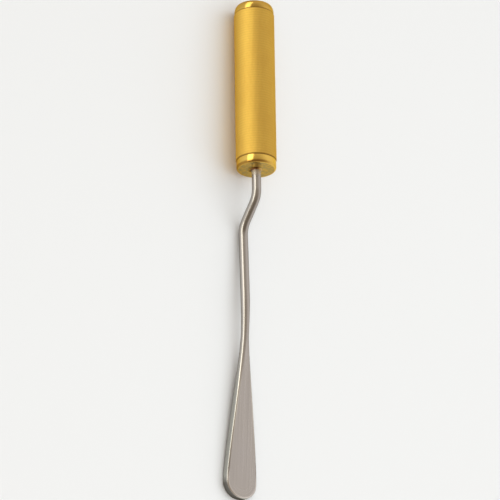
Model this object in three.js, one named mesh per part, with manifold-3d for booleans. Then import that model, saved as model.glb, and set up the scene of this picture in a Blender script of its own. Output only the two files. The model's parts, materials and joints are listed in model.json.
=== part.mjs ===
// A cranked dental elevator: a brass handle with a knurled sleeve between two turned caps, and a stainless
// steel shank that steps down through a bayonet crank and spreads into a flat blade with a round tip.
//
// It lies as it is put down on a bench. The blade points along -Y with its face up, the handle lies along
// +Y, and the rear end of the sleeve and the tip of the blade touch z = 0. Sizes are in millimetres.

import * as THREE from "three";
import { LoftGeometry } from "three/addons/geometries/LoftGeometry.js";
import { mergeVertices } from "three/addons/utils/BufferGeometryUtils.js";
import Module from "manifold-3d";

const degrees = Math.PI / 180;

// Handle
const handleLength = 98.2;
const gripRadius = 11; // over the crests of the knurl
const sleeveWall = 3;
const sleeveChamfer = 0.4;
const capStep = 0.25; // the caps are this much smaller in radius than the sleeve
const capBand = 4.7; // length of each cap that shows beyond the sleeve
const frontRim = { inset: 1.3, depth: 1.3 }; // how far the front cap's edge is rounded in and back
const buttRim = { inset: 1.7, depth: 3.5 }; // the butt cap's edge is rounder, for the palm
const tangCover = 8; // solid brass beyond the end of the tang
const buttSpigot = 14;

// Shank
const rodRadius = 2.5;
const tangLength = 22; // length of rod inside the front cap
const rootLength = 11.2; // from the cap's face to the crank
const crankAngle = 40 * degrees;
const crankRadius = 11.4;
const crankStraight = 10.2;
const shankRise = 1.5 * degrees;
const shankLength = 34;

// Blade
const bendLength = 23; // the slow bend in front of the blade
const bladeDrop = 4.2 * degrees; // slope of the blade against the handle's axis
const bladeLength = 91.2;
const bladeWidth = 19.65;
const bladeThickness = 4.4;
const bladeEdge = 1; // radius along the blade's edges
const tipLength = 8.6;
const neckLength = 22; // the rod is flattened over this length, up to the blade
const neckWidth = 4.3;
const neckThickness = 4.3;
const flareAtNeck = 16; // pull of the blade's outline at its narrow end
const flareAtTip = 13.5; // and at its wide end
const flatteningLength = 45; // the neck's section becomes the blade's over this length

// Joining
const pinRadius = 1;
const pinRecess = 0.6; // the pin ends this far below the spigot's surface
const brazeWidth = 0.9;
const brazeHeight = 0.9;
const brazeEdge = 0.2; // thickness of the fillet at its two thin edges
const pieceGap = 0.25; // clearance between neighbouring pieces

// Facets
const turnedSides = 64;
const brazeSides = 32;
const pinSides = 24;
const weldDistance = 1e-4; // vertices closer than this become one
const rimSteps = 8;
const brazeSteps = 5;
const cornerSteps = 5;
const turnPerStep = 5 * degrees;
const longestStep = 6;
const neckSteps = 6;
const bladeSteps = 22;
const tipSteps = 9;

const wasm = await Module();
wasm.setup();

function metal(color, roughness) {
  return new THREE.MeshStandardMaterial({ color, roughness, metalness: 1 });
}

const knurledBrass = () => metal(0xc49a45, 0.5);
const turnedBrass = () => metal(0xcfa548, 0.28);
const satinSteel = () => metal(0xa89f96, 0.36);
const brazeAlloy = () => metal(0x8d5a38, 0.5);
const pinSteel = () => metal(0x8a8a88, 0.4);

function toSolid(geometry) {
  const bare = new THREE.BufferGeometry();
  bare.setAttribute("position", geometry.getAttribute("position"));
  bare.setIndex(geometry.getIndex());
  const merged = mergeVertices(bare, weldDistance);
  return new wasm.Manifold(
    new wasm.Mesh({
      numProp: 3,
      vertProperties: merged.getAttribute("position").array,
      triVerts: new Uint32Array(merged.getIndex().array),
    }),
  );
}

function toGeometry(solid) {
  const { vertProperties, triVerts } = solid.getMesh();
  const geometry = new THREE.BufferGeometry();
  geometry.setAttribute("position", new THREE.BufferAttribute(vertProperties, 3));
  geometry.setIndex(new THREE.BufferAttribute(triVerts, 1));
  geometry.computeVertexNormals();
  return geometry;
}

function cut(geometry, tool) {
  return toGeometry(toSolid(geometry).subtract(toSolid(tool)));
}

function namedMesh(name, geometry, material) {
  const mesh = new THREE.Mesh(geometry, material);
  mesh.name = name;
  return mesh;
}

// Handle. Its axis is Y, with the front cap's face at y = 0 and the butt cap's face at y = handleLength.

const boreRadius = rodRadius + pieceGap;
const boreDepth = tangLength + pieceGap;
const capRadius = gripRadius - capStep;
const sleeveBore = gripRadius - sleeveWall;
const spigotRadius = sleeveBore - pieceGap;
const frontSpigot = boreDepth + tangCover - capBand;
const pinPlace = (capBand + tangLength) / 2; // half way along the tang that the sleeve covers
const sleeveStart = capBand + pieceGap;
const sleeveEnd = handleLength - sleeveStart;

// Turns a profile of [radius, height] points about the Y axis, with a flat facet lowest.
function turned(profile, sides) {
  const points = profile.map(([radius, height]) => new THREE.Vector2(radius, height));
  return new THREE.LatheGeometry(points, sides, Math.PI / sides);
}

function sleeveGeometry() {
  const chamferStart = gripRadius - sleeveChamfer;
  return turned(
    [
      [sleeveBore, sleeveStart],
      [chamferStart, sleeveStart],
      [gripRadius, sleeveStart + sleeveChamfer],
      [gripRadius, sleeveEnd - sleeveChamfer],
      [chamferStart, sleeveEnd],
      [sleeveBore, sleeveEnd],
      [sleeveBore, sleeveStart],
    ],
    turnedSides,
  );
}

// The outside of a cap from its face, at height 0, to the end of its spigot on the axis. The rim between
// the face and the band is a quarter of an ellipse.
function capOutside(spigotLength, rim) {
  const outline = [];
  for (let step = 0; step <= rimSteps; step++) {
    const angle = (step / rimSteps) * (Math.PI / 2);
    const radius = capRadius - rim.inset * (1 - Math.sin(angle));
    const height = rim.depth * (1 - Math.cos(angle));
    outline.push([radius, height]);
  }
  const spigotEnd = capBand + spigotLength;
  outline.push([capRadius, capBand], [spigotRadius, capBand]);
  outline.push([spigotRadius, spigotEnd], [0, spigotEnd]);
  return outline;
}

// A cylinder across the handle's axis, where the cross pin goes.
function crossCylinder(radius, length) {
  return new THREE.CylinderGeometry(radius, radius, length, pinSides)
    .rotateZ(Math.PI / 2)
    .translate(0, pinPlace, 0);
}

// The hole for the pin, long enough to come out on both sides of the handle.
function pinHole() {
  return crossCylinder(pinRadius + pieceGap, 3 * gripRadius);
}

function frontCapGeometry() {
  const blindBore = [
    [0, boreDepth],
    [boreRadius, boreDepth],
    [boreRadius, 0],
  ];
  const body = turned([...blindBore, ...capOutside(frontSpigot, frontRim)], turnedSides);
  return cut(body, pinHole());
}

function buttCapGeometry() {
  const cap = turned([[0, 0], ...capOutside(buttSpigot, buttRim)], turnedSides);
  return cap.rotateX(Math.PI).translate(0, handleLength, 0);
}

function crossPinGeometry() {
  return crossCylinder(pinRadius, 2 * (spigotRadius - pinRecess));
}

// A hollow fillet of braze that stands on the cap's face, round the root of the rod.
function brazeRingGeometry() {
  const inside = rodRadius + pieceGap;
  const foot = -pieceGap;
  const outline = [[inside, foot - brazeHeight]];
  for (let step = 0; step <= brazeSteps; step++) {
    const angle = (step / brazeSteps) * (Math.PI / 2);
    const radius = inside + brazeEdge + (brazeWidth - brazeEdge) * (1 - Math.cos(angle));
    const height = brazeEdge + (brazeHeight - brazeEdge) * (1 - Math.sin(angle));
    outline.push([radius, foot - height]);
  }
  outline.push([inside + brazeWidth, foot], [inside, foot], [inside, foot - brazeHeight]);
  return turned(outline, brazeSides);
}

// Shank and blade. The centreline runs in the YZ plane as stretches that are straight or turn evenly.
// A positive turn bends it towards the blade's face.

const stretches = [
  { length: rootLength, turn: 0 },
  { length: crankRadius * crankAngle, turn: -crankAngle },
  { length: crankStraight, turn: 0 },
  { length: crankRadius * (crankAngle + shankRise), turn: crankAngle + shankRise },
  { length: shankLength, turn: 0 },
  { length: bendLength, turn: -(shankRise + bladeDrop) },
  { length: bladeLength, turn: 0 },
];
const centrelineLength = stretches.reduce((sum, { length }) => sum + length, 0);
const bladeStart = centrelineLength - bladeLength;
const tipCentre = centrelineLength - tipLength;

// Where the centreline is at a distance from the cap's face, and how steeply it rises there.
function centreline(distance) {
  let forward = 0;
  let up = 0;
  let slope = 0;
  let left = distance;
  for (const { length, turn } of stretches) {
    const share = Math.min(left / length, 1);
    const end = slope + turn * share;
    if (turn === 0) {
      forward += length * share * Math.cos(slope);
      up += length * share * Math.sin(slope);
    } else {
      const radius = length / turn;
      forward += radius * (Math.sin(end) - Math.sin(slope));
      up += radius * (Math.cos(slope) - Math.cos(end));
    }
    slope = end;
    left -= length;
    if (left <= 0) break;
  }
  return { forward, up, slope };
}

// A half section with round corners, from the middle of the back round the +X edge to the middle of the
// face. Where both half sizes equal the corner radius it is half of a circle.
function halfSection({ halfWidth, halfThickness, corner }) {
  const points = [new THREE.Vector2(0, -halfThickness)];
  for (const [side, start] of [[-1, -Math.PI / 2], [1, 0]]) {
    const centre = new THREE.Vector2(halfWidth - corner, side * (halfThickness - corner));
    for (let step = 0; step <= cornerSteps; step++) {
      const angle = start + (step / cornerSteps) * (Math.PI / 2);
      points.push(new THREE.Vector2(Math.cos(angle), Math.sin(angle)).multiplyScalar(corner).add(centre));
    }
  }
  points.push(new THREE.Vector2(0, halfThickness));
  return points;
}

// One ring of the loft. Both halves of the section stand at the station, each turned forward by the fan
// angle about the middle of the blade, so that the last ring closes the round tip.
function ring(station) {
  const { distance, fan } = station;
  const half = halfSection(station);
  const place = (point, side) => {
    const reach = (tipLength / (bladeWidth / 2)) * point.x * Math.sin(fan);
    const { forward, up, slope } = centreline(distance + reach);
    const along = forward - point.y * Math.sin(slope);
    const height = up + point.y * Math.cos(slope);
    return new THREE.Vector3(side * point.x * Math.cos(fan), -along, height);
  };
  const right = half.map((point) => place(point, 1));
  const left = half.slice(1, -1).reverse().map((point) => place(point, -1));
  return [...right, ...left];
}

const mix = THREE.MathUtils.lerp;

function rodStation(distance) {
  return { distance, halfWidth: rodRadius, halfThickness: rodRadius, corner: rodRadius, fan: 0 };
}

// Distances along the round rod, close together where it bends.
function rodDistances() {
  const distances = [-tangLength, 0];
  const roundEnd = bladeStart - neckLength;
  let start = 0;
  for (const { length, turn } of stretches) {
    const steps = Math.ceil(Math.max(Math.abs(turn) / turnPerStep, length / longestStep));
    for (let step = 1; step <= steps; step++) {
      const distance = start + (length * step) / steps;
      if (distance < roundEnd) distances.push(distance);
    }
    start += length;
  }
  return distances;
}

function neckStations() {
  const stations = [];
  for (let step = 0; step < neckSteps; step++) {
    const share = step / neckSteps;
    const flat = THREE.MathUtils.smoothstep(share, 0, 1);
    const halfThickness = mix(rodRadius, neckThickness / 2, flat);
    stations.push({
      distance: bladeStart - neckLength * (1 - share),
      halfWidth: mix(rodRadius, neckWidth / 2, flat),
      halfThickness,
      corner: halfThickness,
      fan: 0,
    });
  }
  return stations;
}

function bladeStations() {
  const outline = new THREE.CubicBezierCurve(
    new THREE.Vector2(bladeStart, neckWidth / 2),
    new THREE.Vector2(bladeStart + flareAtNeck, neckWidth / 2),
    new THREE.Vector2(tipCentre - flareAtTip, bladeWidth / 2),
    new THREE.Vector2(tipCentre, bladeWidth / 2),
  );
  const stations = [];
  for (let step = 0; step <= bladeSteps; step++) {
    const { x: distance, y: halfWidth } = outline.getPoint(step / bladeSteps);
    const flat = THREE.MathUtils.smoothstep(distance, bladeStart, bladeStart + flatteningLength);
    stations.push({
      distance,
      halfWidth,
      halfThickness: mix(neckThickness, bladeThickness, flat) / 2,
      corner: mix(neckThickness / 2, bladeEdge, flat),
      fan: 0,
    });
  }
  return stations;
}

function tipStations(widest) {
  const stations = [];
  for (let step = 1; step <= tipSteps; step++) {
    stations.push({ ...widest, fan: (step / tipSteps) * (Math.PI / 2) });
  }
  return stations;
}

function shankBladeGeometry() {
  const blade = bladeStations();
  const tip = tipStations(blade.at(-1));
  const stations = [...rodDistances().map(rodStation), ...neckStations(), ...blade, ...tip];
  const body = new LoftGeometry(stations.map(ring), { capStart: true });
  return cut(body, pinHole());
}

// Assembly

function elevator() {
  const pieces = new THREE.Group();
  pieces.add(namedMesh("grip_sleeve", sleeveGeometry(), knurledBrass()));
  pieces.add(namedMesh("front_cap", frontCapGeometry(), turnedBrass()));
  pieces.add(namedMesh("butt_cap", buttCapGeometry(), turnedBrass()));
  pieces.add(namedMesh("shank_blade", shankBladeGeometry(), satinSteel()));
  pieces.add(namedMesh("braze_ring", brazeRingGeometry(), brazeAlloy()));
  pieces.add(namedMesh("cross_pin", crossPinGeometry(), pinSteel()));
  return pieces;
}

// The angle that brings the sleeve's rear edge and the lowest point of the blade to one level.
function restAngle(pieces) {
  const rearEdge = sleeveEnd - sleeveChamfer;
  const underside = -gripRadius * Math.cos(Math.PI / turnedSides);
  const points = pieces.getObjectByName("shank_blade").geometry.getAttribute("position");
  let steepest = -Math.PI / 2;
  for (let index = 0; index < points.count; index++) {
    const drop = underside - points.getZ(index);
    steepest = Math.max(steepest, Math.atan2(drop, rearEdge - points.getY(index)));
  }
  return -steepest;
}

// Lays the pieces down, with the origin under the middle of the whole.
function atRest(pieces) {
  pieces.rotation.x = restAngle(pieces);
  const laid = new THREE.Group();
  laid.add(pieces);
  const box = new THREE.Box3().setFromObject(laid, true);
  const middle = box.getCenter(new THREE.Vector3());
  pieces.position.set(-middle.x, -middle.y, -box.min.z);
  return laid;
}

export default atRest(elevator());
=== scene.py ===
"""A cranked dental elevator lying on a pale bench.

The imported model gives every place. The sleeve, the caps, the braze and the steel are built again here with
their fine surface: a cut knurl, rounded rims, a rounded blade edge and brushed metal. Lengths are in metres.
"""

import json
import math

import bpy
import numpy as np
from mathutils import Matrix, Vector


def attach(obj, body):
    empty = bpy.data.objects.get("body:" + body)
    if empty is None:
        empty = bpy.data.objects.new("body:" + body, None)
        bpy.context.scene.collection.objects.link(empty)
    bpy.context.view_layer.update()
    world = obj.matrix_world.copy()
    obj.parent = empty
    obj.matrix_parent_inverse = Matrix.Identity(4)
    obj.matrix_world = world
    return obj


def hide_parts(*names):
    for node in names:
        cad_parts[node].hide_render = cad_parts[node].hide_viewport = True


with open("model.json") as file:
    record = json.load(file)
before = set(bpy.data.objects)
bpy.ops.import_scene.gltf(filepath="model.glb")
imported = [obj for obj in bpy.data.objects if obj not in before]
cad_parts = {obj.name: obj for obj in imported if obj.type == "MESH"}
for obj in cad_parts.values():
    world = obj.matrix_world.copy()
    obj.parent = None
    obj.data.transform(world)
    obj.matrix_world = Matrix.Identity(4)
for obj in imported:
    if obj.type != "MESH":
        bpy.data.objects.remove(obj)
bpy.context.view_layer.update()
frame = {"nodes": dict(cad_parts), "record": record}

MM = 0.001

# ---------------------------------------------------------------- places and sizes read from the frame

MOUNT = frame["record"]["mounts"][0]
BUTT = Vector(MOUNT["pos_m"])
AXIS = Vector(MOUNT["axis"]).normalized()


def node_points(node):
    """The vertices of a CAD node, as rows of row-frame coordinates."""
    mesh = frame["nodes"][node].data
    points = np.zeros(3 * len(mesh.vertices))
    mesh.vertices.foreach_get("co", points)
    return points.reshape(-1, 3)


HANDLE_LENGTH = float(((np.array(BUTT) - node_points("front_cap")) @ np.array(AXIS)).max())
FACE = BUTT - AXIS * HANDLE_LENGTH

# Handle coordinates: x to the right, y from the front cap's face to the butt, z to the side that the blade's
# face is on.
ACROSS = Vector((1, 0, 0))
UP = ACROSS.cross(AXIS)
TO_ROW = Matrix.Translation(FACE) @ Matrix((ACROSS, AXIS, UP)).transposed().to_4x4()


def in_handle(node):
    """The vertices of a CAD node in handle coordinates."""
    turn = np.array(TO_ROW.to_3x3())
    return (node_points(node) - np.array(FACE)) @ turn


def radius_range(node):
    points = in_handle(node)
    radii = np.hypot(points[:, 0], points[:, 2])
    return float(radii.min()), float(radii.max())


SLEEVE_BORE, GRIP_RADIUS = radius_range("grip_sleeve")
SLEEVE_START = float(in_handle("grip_sleeve")[:, 1].min())
SLEEVE_END = float(in_handle("grip_sleeve")[:, 1].max())
CAP_RADIUS = radius_range("front_cap")[1]
SPIGOT_END = float(in_handle("front_cap")[:, 1].max())
BUTT_SPIGOT_START = float(in_handle("butt_cap")[:, 1].min())
TANG_END = float(in_handle("shank_blade")[:, 1].max())
PIN_PLACE = float(in_handle("cross_pin")[:, 1].mean())
PIN_RADIUS = float(np.ptp(in_handle("cross_pin")[:, 2])) / 2
BLADE_WIDTH = float(np.ptp(in_handle("shank_blade")[:, 0]))

# ---------------------------------------------------------------- sizes of the finer shapes

FIT = 0.05 * MM  # clearance of parts that are pressed together
CAP_BAND = SLEEVE_START - 0.08 * MM  # length of a cap outside the sleeve
# How far a cap's edge is rounded in from its side, and back from its face.
FRONT_RIM = (1.3 * MM, 1.3 * MM)
BUTT_RIM = (1.7 * MM, 3.5 * MM)
SHOULDER = 0.12 * MM  # bevel of a cap where it meets the sleeve
SLEEVE_CHAMFER = 0.22 * MM
KNURL_DEPTH = 0.08 * MM
FLUTE_PITCH = 0.66 * MM  # between the grooves that run along the sleeve
RING_PITCH = 1.47 * MM  # between the grooves that run round it
KNURL_LAND = 0.55  # flat top of a pad between grooves, as a share of the pitch
CAP_SIDES = 192  # flats round a cap
RIM_STEPS = 14
SHOULDER_STEPS = 3

ROD_RADIUS = 2.5 * MM
ROOT_LENGTH = 11.2 * MM
CRANK_ANGLE = math.radians(40)
CRANK_RADIUS = 11.4 * MM
CRANK_STRAIGHT = 10.2 * MM
SHANK_RISE = math.radians(1.5)
SHANK_LENGTH = 34 * MM
BEND_LENGTH = 23 * MM
BLADE_DROP = math.radians(4.2)
BLADE_LENGTH = 91.2 * MM
BLADE_THICKNESS = 4.4 * MM
BLADE_EDGE = 1.0 * MM
TIP_LENGTH = 8.6 * MM
NECK_LENGTH = 22 * MM
NECK_WIDTH = 4.3 * MM
NECK_THICKNESS = 4.3 * MM
FLARE_AT_NECK = 16 * MM
FLARE_AT_TIP = 13.5 * MM
FLATTENING_LENGTH = 45 * MM
STRAIGHT_STEP = 3 * MM  # the longest step between sections of the rod
BEND_STEP = math.radians(2.5)
NECK_STEPS = 20
BLADE_STEPS = 70
FAN_STEPS = 28
CORNER_STEPS = 8

BRAZE_WIDTH = 0.7 * MM
BRAZE_HEIGHT = 0.6 * MM
BRAZE_SIDES = 96
BRAZE_STEPS = 14

# ---------------------------------------------------------------- camera

VIEW_TILT = math.radians(23.95)  # the blade end of the handle leans towards the camera by this much
VIEW_ROLL = 0.0139  # the handle leans this much from upright in the picture
VIEW_TURN = math.radians(39)  # the blade's face is turned this far to the right of the camera
VIEW_DISTANCE = 1.8
PICTURE_WIDTH = 0.2683  # what the picture spans at the front cap
CAP_RIGHT = 0.0034  # where the front cap's face stands from the picture's middle
CAP_ABOVE = 0.0429
SENSOR = 36  # width in millimetres, which Blender asks for here


def make_camera():
    """A long lens that looks down on the instrument, with the handle upright in the picture."""
    right = Vector((math.cos(VIEW_ROLL), math.sin(VIEW_ROLL), 0))
    to_tip = Vector((math.sin(VIEW_ROLL), -math.cos(VIEW_ROLL), 0)) * math.cos(VIEW_TILT)
    to_tip.z = math.sin(VIEW_TILT)
    toward = right.cross(-to_tip)
    face = toward * math.cos(VIEW_TURN) + right * math.sin(VIEW_TURN)
    across = right * math.cos(VIEW_TURN) - toward * math.sin(VIEW_TURN)
    handle_to_camera = Matrix((across, -to_tip, face)).transposed()
    turn = (TO_ROW.to_3x3() @ handle_to_camera.inverted()).to_4x4()
    cap_in_camera = Vector((CAP_RIGHT, CAP_ABOVE, -VIEW_DISTANCE))
    data = bpy.data.cameras.new("camera")
    data.sensor_width = SENSOR
    data.lens = SENSOR * VIEW_DISTANCE / PICTURE_WIDTH
    data.clip_start = 0.01
    data.clip_end = 100
    camera = bpy.data.objects.new("camera", data)
    camera.matrix_world = Matrix.Translation(FACE - turn.to_3x3() @ cap_in_camera) @ turn
    bpy.context.scene.collection.objects.link(camera)
    bpy.context.scene.camera = camera


make_camera()

# ---------------------------------------------------------------- mesh helpers

WELD_DISTANCE = 0.001 * MM


def weld(points, faces):
    """Joins points that fall together and drops faces that lose their area.

    Returns the points, the faces and which of the given points were kept.
    """
    keys = np.round(points / WELD_DISTANCE).astype(np.int64)
    _, kept, index = np.unique(keys, axis=0, return_index=True, return_inverse=True)
    index = index.reshape(-1)
    clean = []
    for face in faces:
        ring = []
        for corner in index[list(face)]:
            if not ring or corner != ring[-1]:
                ring.append(int(corner))
        if ring[0] == ring[-1]:
            ring.pop()
        if len(ring) > 2 and len(set(ring)) == len(ring):
            clean.append(ring)
    return points[kept], clean, kept


def new_piece(name, points, faces, flow=None, rim=None, sharp=40):
    """A mesh object from points in handle coordinates.

    flow and rim are values that the materials read. Edges steeper than sharp degrees are shaded sharp.
    """
    points = np.asarray(points, float)
    flow = points if flow is None else np.asarray(flow, float)
    rim = np.ones(len(points)) if rim is None else np.asarray(rim, float)
    points, faces, kept = weld(points, faces)
    turned = points @ np.array(TO_ROW.to_3x3()).T + np.array(FACE)
    mesh = bpy.data.meshes.new(name)
    mesh.from_pydata(turned.tolist(), [], faces)
    flow_values = mesh.attributes.new("flow", "FLOAT_VECTOR", "POINT")
    flow_values.data.foreach_set("vector", flow[kept].ravel())
    rim_values = mesh.attributes.new("rim", "FLOAT", "POINT")
    rim_values.data.foreach_set("value", rim[kept])
    mesh.shade_smooth()
    mesh.set_sharp_from_angle(angle=math.radians(sharp))
    mesh.update()
    piece = bpy.data.objects.new(name, mesh)
    bpy.context.scene.collection.objects.link(piece)
    return piece


def grid_faces(rows, columns):
    """Quads between rings of points that close on themselves."""
    faces = []
    for row in range(rows - 1):
        for column in range(columns):
            after = (column + 1) % columns
            low = row * columns
            high = low + columns
            faces.append((low + column, low + after, high + after, high + column))
    return faces


def mix(first, second, share):
    return first + (second - first) * share


def quarter(steps):
    """Sine and cosine at even steps from 0 to 90 degrees."""
    angles = [step / steps * math.pi / 2 for step in range(steps + 1)]
    return [(math.sin(angle), math.cos(angle)) for angle in angles]


def lathe(name, outline, sharp=30):
    """Turns an outline of (radius, height) points about the handle's axis. It runs from axis to axis."""
    angles = np.arange(CAP_SIDES) * 2 * math.pi / CAP_SIDES
    points = [
        (radius * math.sin(angle), height, radius * math.cos(angle))
        for radius, height in outline
        for angle in angles
    ]
    return new_piece(name, points, grid_faces(len(outline), CAP_SIDES), sharp=sharp)


def drill(piece, radius):
    """Cuts the cross pin's hole through a piece."""
    sides = 48
    reach = 2 * GRIP_RADIUS + 10 * MM
    bpy.ops.mesh.primitive_cylinder_add(vertices=sides, radius=radius, depth=reach)
    tool = bpy.context.object
    # A small turn keeps the tool's corners off the piece's own edges, where the cut would leave slivers.
    off_edges = Matrix.Rotation(0.3 * 2 * math.pi / sides, 4, "Z")
    across = Matrix.Translation((0, PIN_PLACE, 0)) @ Matrix.Rotation(math.pi / 2, 4, "Y") @ off_edges
    tool.matrix_world = TO_ROW @ across
    modifier = piece.modifiers.new("pin hole", "BOOLEAN")
    modifier.object = tool
    modifier.solver = "EXACT"
    bpy.context.view_layer.update()
    graph = bpy.context.evaluated_depsgraph_get()
    cut = bpy.data.meshes.new_from_object(piece.evaluated_get(graph), depsgraph=graph)
    piece.modifiers.clear()
    piece.data = cut
    bpy.data.objects.remove(tool)


# ---------------------------------------------------------------- handle pieces


def knurled_sleeve():
    """The brass sleeve, cut along and round into small flat-topped pads with sloping sides."""
    around = round(2 * math.pi * GRIP_RADIUS / FLUTE_PITCH)
    start = SLEEVE_START + SLEEVE_CHAMFER
    end = SLEEVE_END - SLEEVE_CHAMFER
    along = round((end - start) / RING_PITCH)
    points = []
    faces = []

    def point(i, j, radius):
        """A point at flute i round the sleeve and ring j along it."""
        angle = i * 2 * math.pi / around
        height = start + (end - start) * j / along
        points.append((radius * math.sin(angle), height, radius * math.cos(angle)))
        return len(points) - 1

    groove = GRIP_RADIUS - KNURL_DEPTH
    crossings = [[point(i, j, groove) for i in range(around)] for j in range(along + 1)]
    corners = ((0, 0), (1, 0), (1, 1), (0, 1))
    for j in range(along):
        for i in range(around):
            pad = [
                point(i + mix(0.5, x, KNURL_LAND), j + mix(0.5, y, KNURL_LAND), GRIP_RADIUS)
                for x, y in corners
            ]
            cell = [crossings[j + y][(i + x) % around] for x, y in corners]
            faces.append(tuple(pad))
            for k in range(4):
                after = (k + 1) % 4
                faces.append((cell[k], cell[after], pad[after], pad[k]))

    mouth = GRIP_RADIUS - SLEEVE_CHAMFER
    rings = [crossings[0]]
    for radius, height in (
        (mouth, SLEEVE_START),
        (SLEEVE_BORE, SLEEVE_START),
        (SLEEVE_BORE, SLEEVE_END),
        (mouth, SLEEVE_END),
    ):
        share = (height - start) / (end - start) * along
        rings.append([point(i, share, radius) for i in range(around)])
    rings.append(crossings[-1])
    for first, second in zip(rings, rings[1:]):
        for i in range(around):
            after = (i + 1) % around
            faces.append((second[i], second[after], first[after], first[i]))
    return new_piece("grip_sleeve_knurled", points, faces)


def cap_outline(rim, spigot_end, bore=((0, 0),)):
    """Half section of a cap, from its face at height 0 to the end of its spigot.

    The rim is a quarter of an ellipse.
    """
    inset, depth = rim
    spigot_radius = SLEEVE_BORE - FIT
    outline = list(bore)
    for sine, cosine in quarter(RIM_STEPS):
        outline.append((CAP_RADIUS - inset * (1 - sine), depth * (1 - cosine)))
    for sine, cosine in quarter(SHOULDER_STEPS):
        outline.append((CAP_RADIUS - SHOULDER * (1 - cosine), CAP_BAND - SHOULDER * (1 - sine)))
    outline += [(spigot_radius, CAP_BAND), (spigot_radius, spigot_end - SHOULDER)]
    outline += [(spigot_radius - SHOULDER, spigot_end), (0, spigot_end)]
    return outline


def front_cap():
    depth = TANG_END + FIT
    radius = ROD_RADIUS + FIT
    bore = [(0, depth), (radius, depth), (radius, 0)]
    piece = lathe("front_cap_turned", cap_outline(FRONT_RIM, SPIGOT_END, bore))
    drill(piece, PIN_RADIUS + FIT)
    return piece


def butt_cap():
    outline = cap_outline(BUTT_RIM, HANDLE_LENGTH - BUTT_SPIGOT_START)
    mirrored = [(radius, HANDLE_LENGTH - height) for radius, height in reversed(outline)]
    return lathe("butt_cap_turned", mirrored)


def braze_fillet():
    """The fillet of filler metal round the root of the rod, a little uneven as it set."""
    turns = [side / BRAZE_SIDES * 2 * math.pi for side in range(BRAZE_SIDES)]
    points = []
    for sine, cosine in quarter(BRAZE_STEPS):
        for turn in turns:
            swell = 1 + 0.12 * math.sin(3 * turn + 0.6) + 0.06 * math.sin(7 * turn + 2.1)
            width = BRAZE_WIDTH * swell
            height = BRAZE_HEIGHT * (2 - swell)
            radius = ROD_RADIUS + width * (1 - cosine)
            along = -height * (1 - sine)
            points.append((radius * math.sin(turn), along, radius * math.cos(turn)))
    bore = ROD_RADIUS - FIT
    inner = [
        (bore * math.sin(turn), height, bore * math.cos(turn))
        for height in (FIT, -0.8 * BRAZE_HEIGHT)
        for turn in turns
    ]
    points = points + inner + points[:BRAZE_SIDES]
    rings = len(points) // BRAZE_SIDES
    return new_piece("braze_fillet", points, grid_faces(rings, BRAZE_SIDES))


# ---------------------------------------------------------------- shank and blade

# The centreline's stretches from the cap's face on, as (length, turn).
STRETCHES = [
    (ROOT_LENGTH, 0),
    (CRANK_RADIUS * CRANK_ANGLE, -CRANK_ANGLE),
    (CRANK_STRAIGHT, 0),
    (CRANK_RADIUS * (CRANK_ANGLE + SHANK_RISE), CRANK_ANGLE + SHANK_RISE),
    (SHANK_LENGTH, 0),
    (BEND_LENGTH, -(SHANK_RISE + BLADE_DROP)),
    (BLADE_LENGTH, 0),
]
LINE_LENGTH = sum(length for length, _ in STRETCHES)
BLADE_START = LINE_LENGTH - BLADE_LENGTH
TIP_CENTRE = LINE_LENGTH - TIP_LENGTH


def centreline(distance):
    """How far forward and up the centreline is at a distance along it, and its slope there."""
    forward, up, slope = 0.0, 0.0, 0.0
    left = distance
    for length, turn in STRETCHES:
        share = min(left / length, 1)
        end = slope + turn * share
        if turn == 0:
            forward += length * share * math.cos(slope)
            up += length * share * math.sin(slope)
        else:
            radius = length / turn
            forward += radius * (math.sin(end) - math.sin(slope))
            up += radius * (math.cos(slope) - math.cos(end))
        slope = end
        left -= length
        if left <= 0:
            break
    return forward, up, slope


def smooth(value, start, end):
    """Runs from 0 to 1 between start and end, level at both."""
    share = min(max((value - start) / (end - start), 0), 1)
    return share * share * (3 - 2 * share)


def half_section(half_width, half_thickness, corner):
    """Half of a section, from the middle of the back round the +X edge to the middle of the face.

    Its columns crowd towards the corner, which keeps the shading of the flat face even.
    """
    flat = [share * (half_width - corner) for share in (0, 0.3, 0.6, 0.85, 0.96)]
    wall = [share * (half_thickness - corner) for share in (-0.8, 0, 0.8)]
    points = [(x, -half_thickness) for x in flat]
    for side, first in ((-1, -math.pi / 2), (1, 0)):
        for step in range(CORNER_STEPS + 1):
            angle = first + step / CORNER_STEPS * math.pi / 2
            x = half_width - corner + corner * math.cos(angle)
            z = side * (half_thickness - corner) + corner * math.sin(angle)
            points.append((x, z))
        if side == -1:
            points += [(half_width, z) for z in wall]
    points += [(x, half_thickness) for x in reversed(flat)]
    return points


def blade_outline(share):
    """Distance along the centreline and half width of the blade, by a cubic curve."""
    points = (
        (BLADE_START, NECK_WIDTH / 2),
        (BLADE_START + FLARE_AT_NECK, NECK_WIDTH / 2),
        (TIP_CENTRE - FLARE_AT_TIP, BLADE_WIDTH / 2),
        (TIP_CENTRE, BLADE_WIDTH / 2),
    )
    weights = (
        (1 - share) ** 3,
        3 * (1 - share) ** 2 * share,
        3 * (1 - share) * share ** 2,
        share ** 3,
    )
    distance = sum(weight * point[0] for weight, point in zip(weights, points))
    half_width = sum(weight * point[1] for weight, point in zip(weights, points))
    return distance, half_width


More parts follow.
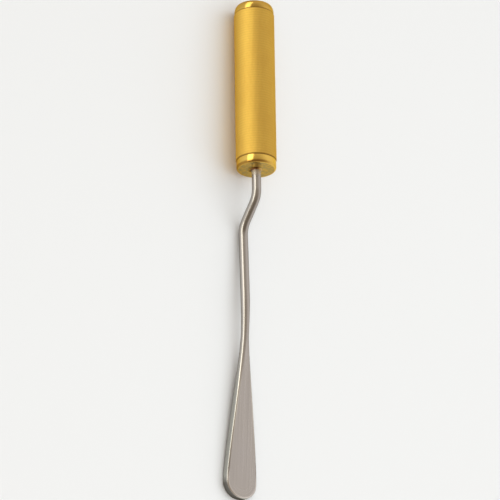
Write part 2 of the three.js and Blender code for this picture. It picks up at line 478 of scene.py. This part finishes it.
def shank_stations():
    """Stations as (distance, half width, half thickness, corner radius, fan angle).

    The fan angle swings the sections round the tip.
    """
    stations = [(-TANG_END, ROD_RADIUS, ROD_RADIUS, ROD_RADIUS, 0)]
    neck_start = BLADE_START - NECK_LENGTH
    start = 0
    for length, turn in STRETCHES:
        steps = math.ceil(max(abs(turn) / BEND_STEP, length / STRAIGHT_STEP))
        for step in range(steps):
            distance = start + length * step / steps
            if distance < neck_start:
                stations.append((distance, ROD_RADIUS, ROD_RADIUS, ROD_RADIUS, 0))
        start += length
    for step in range(NECK_STEPS):
        share = step / NECK_STEPS
        distance = neck_start + NECK_LENGTH * share
        flat = smooth(share, 0, 1)
        half_width = mix(ROD_RADIUS, NECK_WIDTH / 2, flat)
        half_thickness = mix(ROD_RADIUS, NECK_THICKNESS / 2, flat)
        stations.append((distance, half_width, half_thickness, half_thickness, 0))
    for step in range(BLADE_STEPS + 1):
        distance, half_width = blade_outline(step / BLADE_STEPS)
        flat = smooth(distance, BLADE_START, BLADE_START + FLATTENING_LENGTH)
        half_thickness = mix(NECK_THICKNESS, BLADE_THICKNESS, flat) / 2
        corner = mix(NECK_THICKNESS / 2, BLADE_EDGE, flat)
        stations.append((distance, half_width, half_thickness, corner, 0))
    widest = stations[-1]
    for step in range(1, FAN_STEPS + 1):
        stations.append((*widest[:4], step / FAN_STEPS * math.pi / 2))
    return stations


def shank_blade():
    """The steel as one loft: round tang and rod, flattened neck, and the blade with its round tip."""
    points = []
    flow = []
    rim = []
    stations = shank_stations()
    for distance, half_width, half_thickness, corner, fan in stations:
        half = half_section(half_width, half_thickness, corner)
        ring = [(x, z, 1) for x, z in half] + [(x, z, -1) for x, z in reversed(half[1:-1])]
        columns = len(ring)
        for x, z, side in ring:
            reach = TIP_LENGTH / (BLADE_WIDTH / 2) * x * math.sin(fan)
            forward, up, slope = centreline(distance + reach)
            along = forward - z * math.sin(slope)
            points.append((side * x * math.cos(fan), -along, up + z * math.cos(slope)))
            flow.append((side * x * math.cos(fan), distance + reach, z))
            rim.append(half_width - x)
    faces = grid_faces(len(stations), columns)
    faces.append(tuple(reversed(range(columns))))
    piece = new_piece("shank_blade_brushed", points, faces, flow, rim)
    drill(piece, PIN_RADIUS + FIT)
    return piece


# ---------------------------------------------------------------- materials


def rgb(red, green, blue):
    return (red, green, blue, 1)


# Pairs are the two ends that a noise blends between.
CREST_BRASS = (rgb(0.76, 0.505, 0.105), rgb(0.72, 0.46, 0.095))
GROOVE_BRASS = (rgb(0.62, 0.40, 0.08), rgb(0.70, 0.46, 0.09))
TURNED_CLEAN = (rgb(0.80, 0.53, 0.12), rgb(0.76, 0.49, 0.10))
TURNED_DULL = (rgb(0.55, 0.35, 0.10), rgb(0.34, 0.265, 0.125))
BRASS_DIRT = rgb(0.34, 0.19, 0.04)
# The next colour is painted shade on the caps' rims, and the dark line at their joints with the sleeve.
TARNISH_AND_PAINTED_SHADE = rgb(0.36, 0.18, 0.035)
DARK_PATCH_BRASS = rgb(0.14, 0.06, 0.02)
BRASS_TINT = rgb(1, 0.8, 0.4)  # tints are the metal's colour at a glancing angle

STEEL_STREAKS = (rgb(0.405, 0.375, 0.345), rgb(0.50, 0.465, 0.435))
STEEL_CLOUD = rgb(0.45, 0.42, 0.41)
WALL_STEEL = rgb(0.46, 0.455, 0.42)
# The next six colours are painted light and shade: dark on the tip's wall; a highlight, shade and a lighter
# tone on the blade's edge; shade along the crank; and a highlight at the rod's root.
TIP_WALL_SHADE = rgb(0.155, 0.145, 0.13)
EDGE_HIGHLIGHT_PAINT = rgb(0.66, 0.62, 0.56)
EDGE_SHADE_PAINT = rgb(0.36, 0.33, 0.30)
TIP_EDGE_LIGHT_PAINT = rgb(0.66, 0.62, 0.585)
CRANK_SIDE_SHADE = rgb(0.08, 0.06, 0.04)
ROOT_HIGHLIGHT_PAINT = rgb(0.86, 0.83, 0.79)
STEEL_TINT = rgb(0.3, 0.3, 0.26)
PIN_STEEL = (rgb(0.45, 0.44, 0.43), rgb(0.58, 0.57, 0.56))

BRAZE_METAL = (rgb(0.16, 0.06, 0.03), rgb(0.36, 0.17, 0.06))
# The next colour is a painted highlight on the braze.
BRAZE_HIGHLIGHT_GOLD = rgb(0.66, 0.43, 0.14)
DARK_SPOT_BRAZE = rgb(0.06, 0.025, 0.012)

# Places across the handle are (x, z).
LIT_SIDE = (0.777, 0.629)  # the direction from the handle's axis towards its lit side, by which painted highlights and painted shade are placed
DARK_PATCH_PLACE = (-1.6 * MM, 0.3 * MM)
DARK_PATCH_REACH = 1.6 * MM
DARK_SPOT_PLACE = (-1.6 * MM, -2.7 * MM)  # a dark spot beside the root of the rod
DARK_SPOT_RADII = (0.7 * MM, 1.7 * MM)


class Surface:
    """A metal's node tree, with short calls for the few kinds of node used here."""

    def __init__(self, name, source="flow"):
        self.material = bpy.data.materials.new(name)
        self.material.use_nodes = True
        self.tree = self.material.node_tree
        self.shader = self.tree.nodes["Principled BSDF"]
        self.shader.inputs["Metallic"].default_value = 1
        if source == "flow":
            place = self.add("ShaderNodeAttribute")
            place.attribute_name = "flow"
            self.place = place.outputs["Vector"]
        else:
            self.place = self.add("ShaderNodeTexCoord").outputs["Object"]

    def add(self, kind):
        return self.tree.nodes.new(kind)

    def put(self, value, socket):
        """Links an output to a socket, or sets the socket to a plain value."""
        if isinstance(value, bpy.types.NodeSocket):
            self.tree.links.new(value, socket)
        else:
            socket.default_value = value

    def attribute(self, name):
        node = self.add("ShaderNodeAttribute")
        node.attribute_name = name
        return node.outputs["Fac"]

    def math(self, operation, first, second=0.0):
        node = self.add("ShaderNodeMath")
        node.operation = operation
        self.put(first, node.inputs[0])
        self.put(second, node.inputs[1])
        return node.outputs[0]

    def product(self, first, *others):
        for other in others:
            first = self.math("MULTIPLY", first, other)
        return first

    def total(self, first, second):
        return self.math("ADD", first, second)

    def largest(self, first, *others):
        for other in others:
            first = self.math("MAXIMUM", first, other)
        return first

    def stretched(self, vector, factors):
        node = self.add("ShaderNodeVectorMath")
        node.operation = "MULTIPLY"
        self.put(vector, node.inputs[0])
        node.inputs[1].default_value = factors
        return node.outputs[0]

    def parts(self, vector):
        node = self.add("ShaderNodeSeparateXYZ")
        self.put(vector, node.inputs[0])
        return node.outputs

    def joined(self, x, y, z):
        node = self.add("ShaderNodeCombineXYZ")
        for value, socket in zip((x, y, z), node.inputs):
            self.put(value, socket)
        return node.outputs[0]

    def noise(self, vector, factors, detail=2.0, roughness=0.5):
        """Noise from 0 to 1. factors are cycles per metre along each coordinate."""
        node = self.add("ShaderNodeTexNoise")
        self.put(self.stretched(vector, factors), node.inputs["Vector"])
        node.inputs["Scale"].default_value = 1
        node.inputs["Detail"].default_value = detail
        node.inputs["Roughness"].default_value = roughness
        return node.outputs["Fac"]

    def span(self, value, low, high, to_low, to_high):
        """Maps low..high to to_low..to_high, and holds the ends."""
        node = self.add("ShaderNodeMapRange")
        self.put(value, node.inputs["Value"])
        node.inputs["From Min"].default_value = low
        node.inputs["From Max"].default_value = high
        node.inputs["To Min"].default_value = to_low
        node.inputs["To Max"].default_value = to_high
        return node.outputs["Result"]

    def rise(self, value, low, high):
        return self.span(value, low, high, 0, 1)

    def fall(self, value, low, high):
        return self.span(value, low, high, 1, 0)

    def blend(self, share, first, second):
        """Mixes two colours."""
        node = self.add("ShaderNodeMix")
        node.data_type = "RGBA"
        self.put(share, node.inputs["Factor"])
        self.put(first, node.inputs["A"])
        self.put(second, node.inputs["B"])
        return node.outputs["Result"]

    def bump(self, height, distance, strength):
        node = self.add("ShaderNodeBump")
        self.put(height, node.inputs["Height"])
        node.inputs["Distance"].default_value = distance
        node.inputs["Strength"].default_value = strength
        return node.outputs["Normal"]

    def finish(self, colour, roughness, normal=None, tint=(1, 1, 1, 1)):
        self.put(colour, self.shader.inputs["Base Color"])
        self.put(tint, self.shader.inputs["Specular Tint"])
        self.put(roughness, self.shader.inputs["Roughness"])
        if normal is not None:
            self.put(normal, self.shader.inputs["Normal"])
        return self.material

    def distance(self, x, z):
        square = self.total(self.product(x, x), self.product(z, z))
        return self.math("SQRT", square)

    def radial(self):
        """Distance from the handle's axis, and place along it, as outputs."""
        x, y, z = self.parts(self.place)
        return self.distance(x, z), y

    def near(self, place, inner, outer):
        """1 within inner of a line along the handle at place (x, z), falling to 0 at outer."""
        x, _, z = self.parts(self.place)
        away = self.distance(self.math("SUBTRACT", x, place[0]), self.math("SUBTRACT", z, place[1]))
        return self.fall(away, inner, outer)

    def towards_light(self):
        """How far a point lies from the handle's axis towards its lit side."""
        x, _, z = self.parts(self.place)
        return self.total(self.product(x, LIT_SIDE[0]), self.product(z, LIT_SIDE[1]))


def knurled_brass():
    s = Surface("knurled_brass")
    radius, height = s.radial()
    mottle = s.noise(s.place, (90, 60, 90), detail=3)
    speck = s.noise(s.place, (900, 900, 900), detail=2)
    crest = s.rise(radius, GRIP_RADIUS - KNURL_DEPTH, GRIP_RADIUS - 0.1 * KNURL_DEPTH)
    crests = s.blend(s.rise(mottle, 0.35, 0.65), *CREST_BRASS)
    colour = s.blend(crest, s.blend(speck, *GROOVE_BRASS), crests)
    # Dirt has settled at the joints with the caps.
    to_front = s.math("SUBTRACT", height, SLEEVE_START)
    to_butt = s.math("SUBTRACT", SLEEVE_END, height)
    joint = s.span(s.math("MINIMUM", to_front, to_butt), 0.2 * MM, 0.7 * MM, 0.8, 0)
    colour = s.blend(joint, colour, BRASS_DIRT)
    roughness = s.span(speck, 0.3, 0.7, 0.52, 0.62)
    return s.finish(colour, roughness, s.bump(speck, 0.01 * MM, 0.5), BRASS_TINT)


def turned_brass():
    s = Surface("turned_brass")
    radius, height = s.radial()
    from_end = s.math("MINIMUM", height, s.math("SUBTRACT", HANDLE_LENGTH, height))
    section = s.joined(radius, height, 0.0)
    tracks = s.noise(section, (5200, 5200, 1), detail=3, roughness=0.6)
    bands = s.noise(section, (900, 900, 1), detail=2)
    stain = s.noise(s.place, (520, 520, 520), detail=4, roughness=0.6)
    clean = s.blend(bands, *TURNED_CLEAN)
    # The front face is dulled by the heat of the brazing, and darker still in patches beside the rod.
    inside_rim = s.fall(radius, CAP_RADIUS - FRONT_RIM[0], CAP_RADIUS - 0.5 * FRONT_RIM[0])
    on_face = s.product(s.fall(height, 0, 0.25 * MM), inside_rim)
    colour = s.blend(on_face, clean, s.blend(s.rise(stain, 0.42, 0.58), *TURNED_DULL))
    near_rod = s.near(DARK_PATCH_PLACE, ROD_RADIUS, ROD_RADIUS + DARK_PATCH_REACH)
    dark_patch = s.product(near_rod, s.span(stain, 0.4, 0.6, 0.5, 0.95))
    dark_patch = s.product(s.largest(dark_patch, s.near(DARK_SPOT_PLACE, *DARK_SPOT_RADII)), on_face)
    colour = s.blend(dark_patch, colour, DARK_PATCH_BRASS)
    # A brown line is painted as shade at the bend between face and band, lighter on the side that faces the
    # light.
    # The joint with the sleeve is left brown, and the butt cap's rim is darker.
    bend = s.product(s.rise(from_end, 0.02 * MM, 0.3 * MM), s.fall(from_end, 1.1 * MM, 1.9 * MM))
    bend = s.product(bend, s.span(s.towards_light(), 0.1 * CAP_RADIUS, 0.85 * CAP_RADIUS, 0.9, 0.1))
    joint = s.span(from_end, CAP_BAND - 0.5 * MM, CAP_BAND - 0.15 * MM, 0, 0.7)
    at_butt = s.math("GREATER_THAN", height, HANDLE_LENGTH / 2)
    on_butt_rim = s.span(from_end, 0.5 * BUTT_RIM[1], BUTT_RIM[1] + 1 * MM, 0.6, 0.3)
    shade_and_tarnish = s.largest(bend, joint, s.product(on_butt_rim, at_butt))
    colour = s.blend(shade_and_tarnish, colour, TARNISH_AND_PAINTED_SHADE)
    roughness = s.total(s.span(tracks, 0.3, 0.7, 0.10, 0.20), s.product(stain, 0.06))
    return s.finish(colour, roughness, s.bump(tracks, 0.004 * MM, 0.6), BRASS_TINT)


def brushed_steel():
    s = Surface("brushed_steel")
    _, along, _ = s.parts(s.place)
    rim = s.attribute("rim")
    fine = s.noise(s.place, (5200, 90, 5200), detail=3, roughness=0.6)
    broad = s.noise(s.place, (650, 14, 650), detail=2)
    arcs = s.noise(s.joined(rim, s.product(along, 0.02), 0.0), (3000, 3000, 1), detail=2)
    cloud = s.noise(s.place, (70, 30, 70), detail=2)
    # The brush ran lengthwise, and round the tip.
    at_tip = s.rise(along, TIP_CENTRE - 1 * MM, LINE_LENGTH - 2 * MM)
    lengthwise = s.total(s.product(fine, 0.45), s.product(broad, 0.55))
    lengthwise = s.product(lengthwise, s.math("SUBTRACT", 1.0, at_tip))
    streak = s.total(lengthwise, s.product(arcs, at_tip))
    colour = s.blend(s.rise(streak, 0.36, 0.64), *STEEL_STREAKS)
    colour = s.blend(s.span(cloud, 0.4, 0.7, 0, 0.4), colour, STEEL_CLOUD)
    # The round edge of the blade is painted: a painted highlight near the neck, painted shade further on, and
    # painted lighter round the tip.
    on_blade = s.rise(along, BLADE_START + 8 * MM, BLADE_START + 30 * MM)
    on_edge = s.product(s.rise(rim, 0.1 * MM, 0.25 * MM), s.fall(rim, 0.85 * BLADE_EDGE, 1.3 * BLADE_EDGE))
    edge_shading = s.rise(along, BLADE_START + 45 * MM, BLADE_START + 74 * MM)
    tip_edge_lightening = s.rise(along, TIP_CENTRE - 6 * MM, TIP_CENTRE - 1 * MM)
    edge = s.blend(tip_edge_lightening, s.blend(edge_shading, EDGE_HIGHLIGHT_PAINT, EDGE_SHADE_PAINT), TIP_EDGE_LIGHT_PAINT)
    colour = s.blend(s.product(on_edge, on_blade), colour, edge)
    # The blade's side wall is left as ground and greyer; round the tip it is painted dark, as painted shade.
    wall = s.product(s.fall(rim, 0.03 * MM, 0.25 * MM), on_blade)
    to_tip = s.rise(along, TIP_CENTRE - 2 * MM, TIP_CENTRE + 2 * MM)
    colour = s.blend(s.product(wall, 0.9), colour, s.blend(to_tip, WALL_STEEL, TIP_WALL_SHADE))
    # A dark strip of painted shade runs along one side of the crank.
    side = s.towards_light()
    strip = s.product(
        s.rise(side, -0.15 * ROD_RADIUS, 0.15 * ROD_RADIUS),
        s.fall(side, 0.35 * ROD_RADIUS, 0.7 * ROD_RADIUS),
    )
    in_crank = s.product(s.rise(along, 14 * MM, 19 * MM), s.fall(along, 35 * MM, 40 * MM))
    colour = s.blend(s.product(strip, in_crank, 0.45), colour, CRANK_SIDE_SHADE)
    # The root is painted brighter as a painted highlight, and is less smooth than the rest of the rod.
    root = s.product(s.fall(along, 2.5 * MM, 4.5 * MM), s.math("GREATER_THAN", along, 0.0))
    colour = s.blend(root, colour, ROOT_HIGHLIGHT_PAINT)
    roughness = s.total(s.span(streak, 0.36, 0.64, 0.19, 0.29), s.product(wall, 0.08))
    roughness = s.total(roughness, s.product(root, 0.22))
    return s.finish(colour, roughness, s.bump(streak, 0.006 * MM, 0.6), STEEL_TINT)


def braze_metal():
    s = Surface("braze_metal")
    grain = s.noise(s.place, (1800, 1800, 1800), detail=4)
    colour = s.blend(s.rise(grain, 0.35, 0.65), *BRAZE_METAL)
    # The side of the fillet towards the light is painted golden as a painted highlight, and a dark spot lies
    # on the other.
    colour = s.blend(s.span(s.towards_light(), 0.3 * MM, 2 * MM, 0, 0.8), colour, BRAZE_HIGHLIGHT_GOLD)
    colour = s.blend(s.near(DARK_SPOT_PLACE, *DARK_SPOT_RADII), colour, DARK_SPOT_BRAZE)
    return s.finish(colour, s.span(grain, 0.3, 0.7, 0.3, 0.5), s.bump(grain, 0.03 * MM, 0.6))


def pin_steel():
    s = Surface("pin_steel", source="object")
    tracks = s.noise(s.place, (3000, 200, 200), detail=2)
    return s.finish(s.blend(tracks, *PIN_STEEL), s.span(tracks, 0.3, 0.7, 0.25, 0.4))


# ---------------------------------------------------------------- the pieces on their bodies


def settle(piece, node, material):
    """Gives a piece its material, hides the CAD node that it stands for, and hangs the piece on the root
    body.
    """
    piece.data.materials.clear()
    piece.data.materials.append(material)
    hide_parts(node)
    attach(piece, "root")


TURNED_BRASS = turned_brass()
settle(knurled_sleeve(), "grip_sleeve", knurled_brass())
settle(front_cap(), "front_cap", TURNED_BRASS)
settle(butt_cap(), "butt_cap", TURNED_BRASS)
settle(shank_blade(), "shank_blade", brushed_steel())
settle(braze_fillet(), "braze_ring", braze_metal())

cross_pin = frame["nodes"]["cross_pin"]
cross_pin.data.materials.clear()
cross_pin.data.materials.append(pin_steel())

# ---------------------------------------------------------------- floor and light

FLOOR_REACH = 6
FLOOR_COLOUR = rgb(0.86, 0.86, 0.86)
ROOM_COLOUR = rgb(0.94, 0.90, 0.87)
DARK_ROOM_COLOUR = rgb(0.43, 0.37, 0.30)
DARK_SIDE = (-0.575, -0.382, 0.723)  # the direction in which the room is darkest
DARK_SPREAD = (math.radians(32), math.radians(88))  # from darkest to lightest, as angles from that direction


def make_floor():
    reach = FLOOR_REACH
    corners = [(-reach, -reach, 0), (reach, -reach, 0), (reach, reach, 0), (-reach, reach, 0)]
    mesh = bpy.data.meshes.new("floor")
    mesh.from_pydata(corners, [], [(0, 1, 2, 3)])
    floor = bpy.data.objects.new("floor", mesh)
    bpy.context.scene.collection.objects.link(floor)
    material = bpy.data.materials.new("pale_bench")
    material.use_nodes = True
    shader = material.node_tree.nodes["Principled BSDF"]
    shader.inputs["Base Color"].default_value = FLOOR_COLOUR
    shader.inputs["Roughness"].default_value = 0.8
    shader.inputs["Specular IOR Level"].default_value = 0.1
    mesh.materials.append(material)


def soft_box(name, direction, distance, size, radiance, colour, seen=True, lights=True):
    """A rectangular lamp that faces the instrument's middle.

    radiance is how bright its surface looks. seen says whether it shows in reflections, and lights whether it
    lights dull surfaces.
    """
    width, height = size
    data = bpy.data.lights.new(name, "AREA")
    data.shape = "RECTANGLE"
    data.size = width
    data.size_y = height
    data.energy = radiance * math.pi * width * height
    data.color = colour
    lamp = bpy.data.objects.new(name, data)
    aim = Vector(direction).normalized()
    facing = aim.to_track_quat("Z", "Y").to_matrix().to_4x4()
    lamp.matrix_world = Matrix.Translation(aim * distance) @ facing
    lamp.visible_glossy = seen
    lamp.visible_diffuse = lights
    bpy.context.scene.collection.objects.link(lamp)


def make_world():
    """A warm grey room whose light falls off towards DARK_SIDE."""
    world = bpy.data.worlds.new("studio")
    world.use_nodes = True
    tree = world.node_tree
    add = tree.nodes.new
    direction = add("ShaderNodeTexCoord").outputs["Generated"]
    nearness = add("ShaderNodeVectorMath")
    nearness.operation = "DOT_PRODUCT"
    tree.links.new(direction, nearness.inputs[0])
    nearness.inputs[1].default_value = DARK_SIDE
    fade = add("ShaderNodeMapRange")
    fade.interpolation_type = "SMOOTHSTEP"
    tree.links.new(nearness.outputs["Value"], fade.inputs["Value"])
    fade.inputs["From Min"].default_value = math.cos(DARK_SPREAD[1])
    fade.inputs["From Max"].default_value = math.cos(DARK_SPREAD[0])
    colour = add("ShaderNodeMix")
    colour.data_type = "RGBA"
    tree.links.new(fade.outputs["Result"], colour.inputs["Factor"])
    colour.inputs["A"].default_value = ROOM_COLOUR
    colour.inputs["B"].default_value = DARK_ROOM_COLOUR
    background = tree.nodes["Background"]
    tree.links.new(colour.outputs["Result"], background.inputs["Color"])
    bpy.context.scene.world = world


make_floor()
make_world()
soft_box("left_box", (-0.885, 0.413, 0.215), 1.0, (1.6, 0.52), 2.1, (1, 1, 0.9), lights=False)
soft_box("high_box", (0.45, 0.1, 0.89), 1.2, (1.4, 1.4), 1.0, (0.8, 0.92, 1), seen=False)
soft_box("fill_box", (-0.35, -0.3, 0.89), 1.2, (1.4, 1.4), 0.85, (0.85, 0.94, 1), seen=False)
bpy.context.scene.view_settings.view_transform = "Standard"
